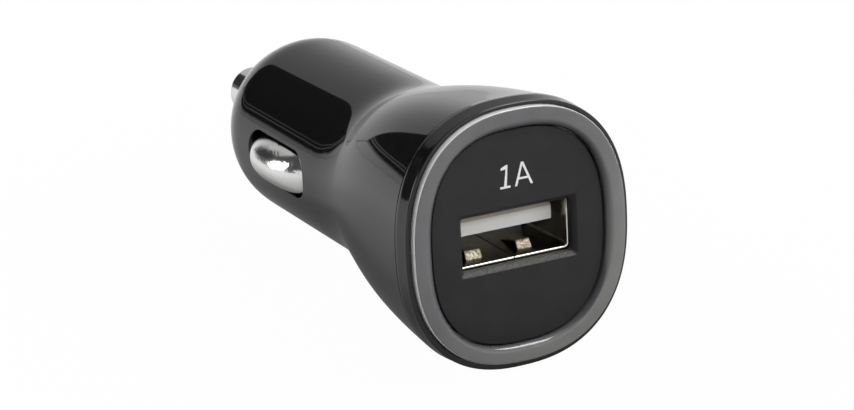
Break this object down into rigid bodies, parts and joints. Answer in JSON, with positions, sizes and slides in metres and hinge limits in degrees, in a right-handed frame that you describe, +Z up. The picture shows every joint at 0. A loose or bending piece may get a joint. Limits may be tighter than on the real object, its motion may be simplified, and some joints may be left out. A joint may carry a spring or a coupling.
{
  "type": "car usb charger plug",
  "caption": "Black plug for a car power socket, with a squarish flared head, a USB port in a smoky ring, a sprung centre pin and side contacts.",
  "frame": {"origin": "on the plug's axis at the shoulder, where the round barrel leaves the head", "axes": "+Y along the barrel towards the centre pin, +Z up on the face, +X to the right as the face is seen"},
  "size_m": [0.026, 0.0681, 0.0286],
  "materials": {
    "body_gloss": "high-gloss black moulding",
    "rim_black": "black moulding, glossy on the band and satin on the front edge",
    "ring_smoke": "translucent smoky grey plastic, polished",
    "plate_matte": "fine matte black",
    "shell_nickel": "nickel-plated sheet",
    "tongue_white": "white insulator",
    "contact_gold": "gold-plated strip",
    "board_green": "green solder mask",
    "part_black": "black epoxy",
    "ferrite": "dark ferrite",
    "copper": "enamelled copper wire",
    "can_sleeve": "dark blue sleeve",
    "ceramic": "fired ceramic",
    "lamp": "pale lamp body",
    "chrome": "bright plating",
    "spring_steel": "spring wire",
    "cup_brass": "tinned brass"
  },
  "bodies": {
    "housing": {"body_shell": "body_gloss", "front_bezel": "rim_black", "light_ring": "ring_smoke", "face_plate": "plate_matte", "usb_shell": "shell_nickel", "usb_tongue": "tongue_white", "usb_contact_1": "contact_gold", "usb_contact_2": "contact_gold", "usb_contact_3": "contact_gold", "usb_contact_4": "contact_gold", "circuit_board": "board_green", "converter_chip": "part_black", "inductor_core": "ferrite", "inductor_winding": "copper", "input_capacitor": "can_sleeve", "output_capacitor": "can_sleeve", "rectifier_diode": "part_black", "ring_leds": "lamp", "chip_resistors": "part_black", "chip_capacitors": "ceramic", "pico_fuse": "ceramic", "pin_spring": "spring_steel", "pin_contact": "cup_brass"},
    "pin": {"centre_pin": "chrome"},
    "clip_left": {"ground_clip_left": "chrome"},
    "clip_right": {"ground_clip_right": "chrome"}
  },
  "joints": [
    {"name": "pin_slide", "type": "slide", "parent": "housing", "child": "pin", "axis": [0, -1, 0], "range_m": [0, 0.0025], "stiffness_N_per_m": 600, "springref_m": -0.002, "deforming": ["pin_spring"]},
    {"name": "clip_left_press", "type": "hinge", "parent": "housing", "child": "clip_left", "pos_m": [-0.00769, -0.0015, 0], "axis": [0, 0, -1], "range_deg": [0, 7], "stiffness_Nm_per_rad": 0.5, "springref_deg": -1.72},
    {"name": "clip_right_press", "type": "hinge", "parent": "housing", "child": "clip_right", "pos_m": [0.00769, -0.0015, 0], "axis": [0, 0, 1], "range_deg": [0, 7], "stiffness_Nm_per_rad": 0.5, "springref_deg": -1.72}
  ]
}
